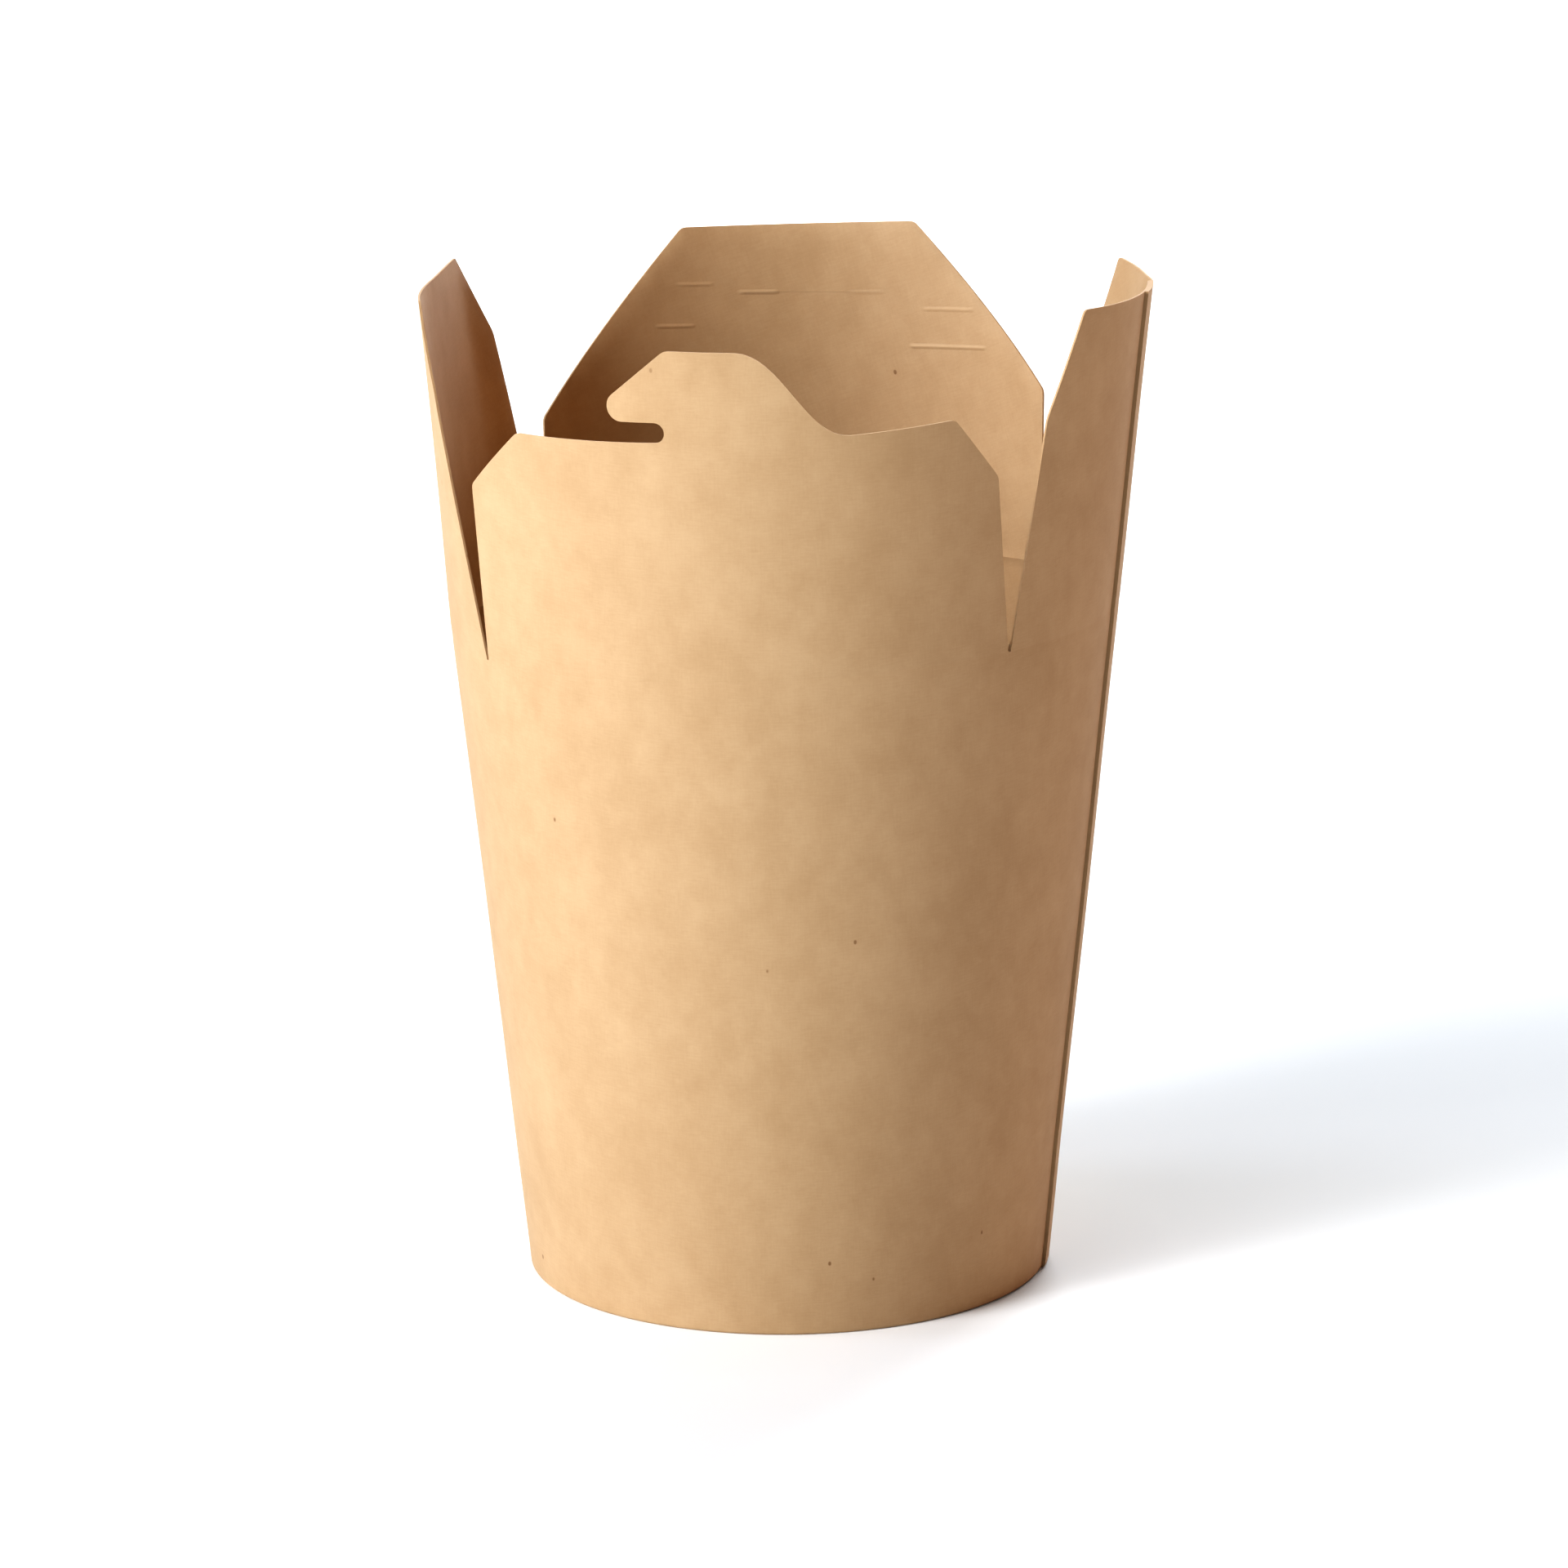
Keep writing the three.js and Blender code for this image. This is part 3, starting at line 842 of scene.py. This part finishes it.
def pressed_dash(finish, low, high, level):
    """A short pressed line across a flap, in millimetres of its flat drawing: 1 along it and 0 beside it."""
    apart = finish.node("ShaderNodeSeparateXYZ", {}, {0: finish.place("drawn")})
    x, y = Amount(finish, apart.outputs[0]), Amount(finish, apart.outputs[1])
    along = x.above(low, low + DASH_END) * (1 - x.above(high - DASH_END, high))
    across = y.above(level - DASH_HALF_WIDTH, level) * (1 - y.above(level, level + DASH_HALF_WIDTH))
    return along * across


def dark_specks(finish, place):
    """1 on a speck and 0 beside it."""
    cells = {"Vector": finish.stretched(place, SPECK_CELLS), "Scale": 1.0}
    spots = finish.node("ShaderNodeTexVoronoi", {"feature": "F1"}, cells)
    near = Amount(finish, spots.outputs["Distance"])
    chance = finish.amount("ShaderNodeSeparateColor", {}, {0: spots.outputs["Color"]})
    return (1 - near.above(*SPECK_EDGE)) * chance.above(*SPECK_CHANCE)


def kraft_board(name, tone=1.0, dashes=()):
    """Unbleached board: cloudy pulp, fine fibres across and up it, a few dark specks and a paler cut edge.
    Cuts that face up and pressed lines get a painted highlight, and the lap's raw edge gets painted shade.
    """
    finish = Finish(name)
    place = finish.place("flat")
    inner = finish.mark("inner_face")
    clouds = {cloud: finish.cloud(place, *grain) for cloud, grain in CLOUDS.items()}

    shade = sum(clouds[cloud] * share for cloud, share in COLOUR_SHARES.items())
    kraft = finish.mix(shade.above(*PALE_RANGE), toned(KRAFT_DEEP, tone), toned(KRAFT_PALE, tone))
    hair = (1 - clouds["fibres"]).above(*HAIR_FIBRES) * clouds["felt"].above(*HAIR_FELT)
    flecks = dark_specks(finish, place) * SPECK_SHARE + hair * HAIR_SHARE
    flecked = finish.mix(flecks, kraft, FIBRE_AND_SHADE_DARK)

    # Pressed lines: real relief, and a paler tone along them that is a painted highlight for the lit tops of
    # their ridges
    pressed = sum(pressed_dash(finish, *ends) * depth * inner for *ends, depth in dashes)
    dash_highlighted = finish.mix(pressed * PRESSED_HIGHLIGHT_SHARE, flecked, RAW_CORE_AND_HIGHLIGHT) if dashes else flecked
    # Cut edges: the board's pale core, painted paler still on cuts that face up as a painted highlight
    edged = finish.mix(finish.mark("cut_core_and_highlight") * CUT_SHARE, dash_highlighted, toned(RAW_CORE_AND_HIGHLIGHT, tone))
    # The lap's outer raw edge is painted darker: painted shade for the gap in its groove
    colour = finish.mix(finish.mark("seam_shade") * SEAM_SHADE_SHARE, edged, FIBRE_AND_SHADE_DARK)

    relief = sum(clouds[cloud] * share for cloud, share in RELIEF_SHARES.items()) + pressed * DASH_RELIEF
    height = {"Height": relief, "Distance": RELIEF_DEPTH, "Strength": RELIEF_SHARE}
    bump = finish.node("ShaderNodeBump", {}, height)
    uneven = (clouds["felt"] - MIDDLE_GREY) * FELT_ROUGHNESS
    return finish.shade({
        "Base Color": colour,
        "Roughness": BOARD_ROUGHNESS - inner * INSIDE_SMOOTHER + uneven,
        "Normal": bump.outputs[0],
        "Specular IOR Level": BOARD_SHINE,
        "Sheen Weight": BOARD_SHEEN,
        "Sheen Roughness": SHEEN_ROUGHNESS,
    })


def floor_finish():
    finish = Finish("pale_floor")
    place = finish.node("ShaderNodeTexCoord", {}, {}).outputs["Object"]
    drift = finish.cloud(place, FLOOR_CLOUDS, FLOOR_CLOUD_DETAIL)
    colour = finish.mix(drift.above(*FLOOR_CLOUD_RANGE), toned(FLOOR_WHITE, FLOOR_DARKER), FLOOR_WHITE)
    away = finish.amount("ShaderNodeVectorMath", {"operation": "LENGTH"}, {0: place}, "Value")
    glow = finish.mix(away.above(SWEEP_START, SWEEP_FULL), FLOOR_GLOW, SWEEP_WHITE)
    return finish.shade({
        "Base Color": colour,
        "Roughness": FLOOR_ROUGHNESS,
        "Specular IOR Level": FLOOR_SHINE,
        "Emission Color": glow,
        "Emission Strength": 1.0,
    })


# Pieces on the frame. The collection holds what the warm bounce lights

whole_box = bpy.data.collections.new("box")
board = kraft_board("kraft_board")
back_board = kraft_board("kraft_board_back", dashes=BACK_DASHES)
base_board = kraft_board("kraft_base", tone=BASE_TONE)

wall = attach(wall_piece(board), "cup")
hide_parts("cup_wall")
whole_box.objects.link(wall)

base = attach(base_piece(base_board), "cup")
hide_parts("cup_base")
whole_box.objects.link(base)

for body, shape in (("front_flap", FRONT), ("right_flap", RIGHT), ("back_flap", BACK), ("left_flap", LEFT)):
    piece = flap_piece(body + "_board", shape, back_board if shape is BACK else board)
    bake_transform(piece)
    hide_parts(body)
    whole_box.objects.link(piece)


# The floor, the light and the camera

def floor_piece():
    mesh = bpy.data.meshes.new("floor")
    corners = [(x * FLOOR_HALF, y * FLOOR_HALF, 0) for x, y in ((-1, -1), (1, -1), (1, 1), (-1, 1))]
    mesh.from_pydata(corners, [], [(0, 1, 2, 3)])
    mesh.materials.append(floor_finish())
    floor = bpy.data.objects.new("floor", mesh)
    bpy.context.scene.collection.objects.link(floor)


def soft_light(name, azimuth, elevation, size, power, tint, distance):
    """A round soft box that faces the cup. It returns the light."""
    lamp = bpy.data.lights.new(name, "AREA")
    lamp.shape = "DISK"
    lamp.size = size
    lamp.energy = power
    lamp.color = tint
    light = bpy.data.objects.new(name, lamp)
    rise = math.radians(elevation)
    away = Vector(around(azimuth, math.cos(rise), math.sin(rise))) * distance
    light.location = away + LIGHT_AIM
    light.rotation_euler = away.to_track_quat("Z", "Y").to_euler()
    bpy.context.scene.collection.objects.link(light)
    return light


def light_inside():
    """A narrow lamp straight above the mouth that lights the base."""
    lamp = bpy.data.lights.new("inside", "SPOT")
    lamp.energy = INSIDE_POWER
    lamp.spot_size = 2 * math.atan(INSIDE_REACH / INSIDE_HEIGHT)
    lamp.spot_blend = 1.0
    lamp.shadow_soft_size = INSIDE_RADIUS
    light = bpy.data.objects.new("inside", lamp)
    light.location = (0, 0, INSIDE_HEIGHT)
    bpy.context.scene.collection.objects.link(light)


def backdrop():
    """A white world that the camera sees but that gives no light."""
    world = bpy.data.worlds.new("studio")
    world.use_nodes = True
    nodes = world.node_tree.nodes
    background = nodes["Background"]
    background.inputs["Color"].default_value = (1.0, 1.0, 1.0, 1.0)
    seen = nodes.new("ShaderNodeLightPath").outputs["Is Camera Ray"]
    world.node_tree.links.new(seen, background.inputs["Strength"])
    bpy.context.scene.world = world


def studio():
    """The backdrop, a lamp for the inside and seven soft boxes. The warm bounce lights the box alone."""
    backdrop()
    light_inside()
    for soft_box in SOFT_BOXES:
        soft_light(*soft_box)
    bounce = soft_light(*KRAFT_BOUNCE)
    bounce.light_linking.receiver_collection = whole_box


def camera():
    lens = bpy.data.cameras.new("camera")
    lens.lens = CAMERA_LENS
    lens.sensor_width = CAMERA_SENSOR
    lens.clip_start = CAMERA_NEAR
    eye = bpy.data.objects.new("camera", lens)
    eye.location = CAMERA_AT
    eye.rotation_euler = (CAMERA_AIM - CAMERA_AT).to_track_quat("-Z", "Y").to_euler()
    eye.rotation_euler.rotate_axis("Z", -CAMERA_ROLL)
    bpy.context.scene.collection.objects.link(eye)
    bpy.context.scene.camera = eye


floor_piece()
studio()
camera()
bpy.context.scene.view_settings.view_transform = "Standard"
bpy.context.scene.view_settings.look = "High Contrast"
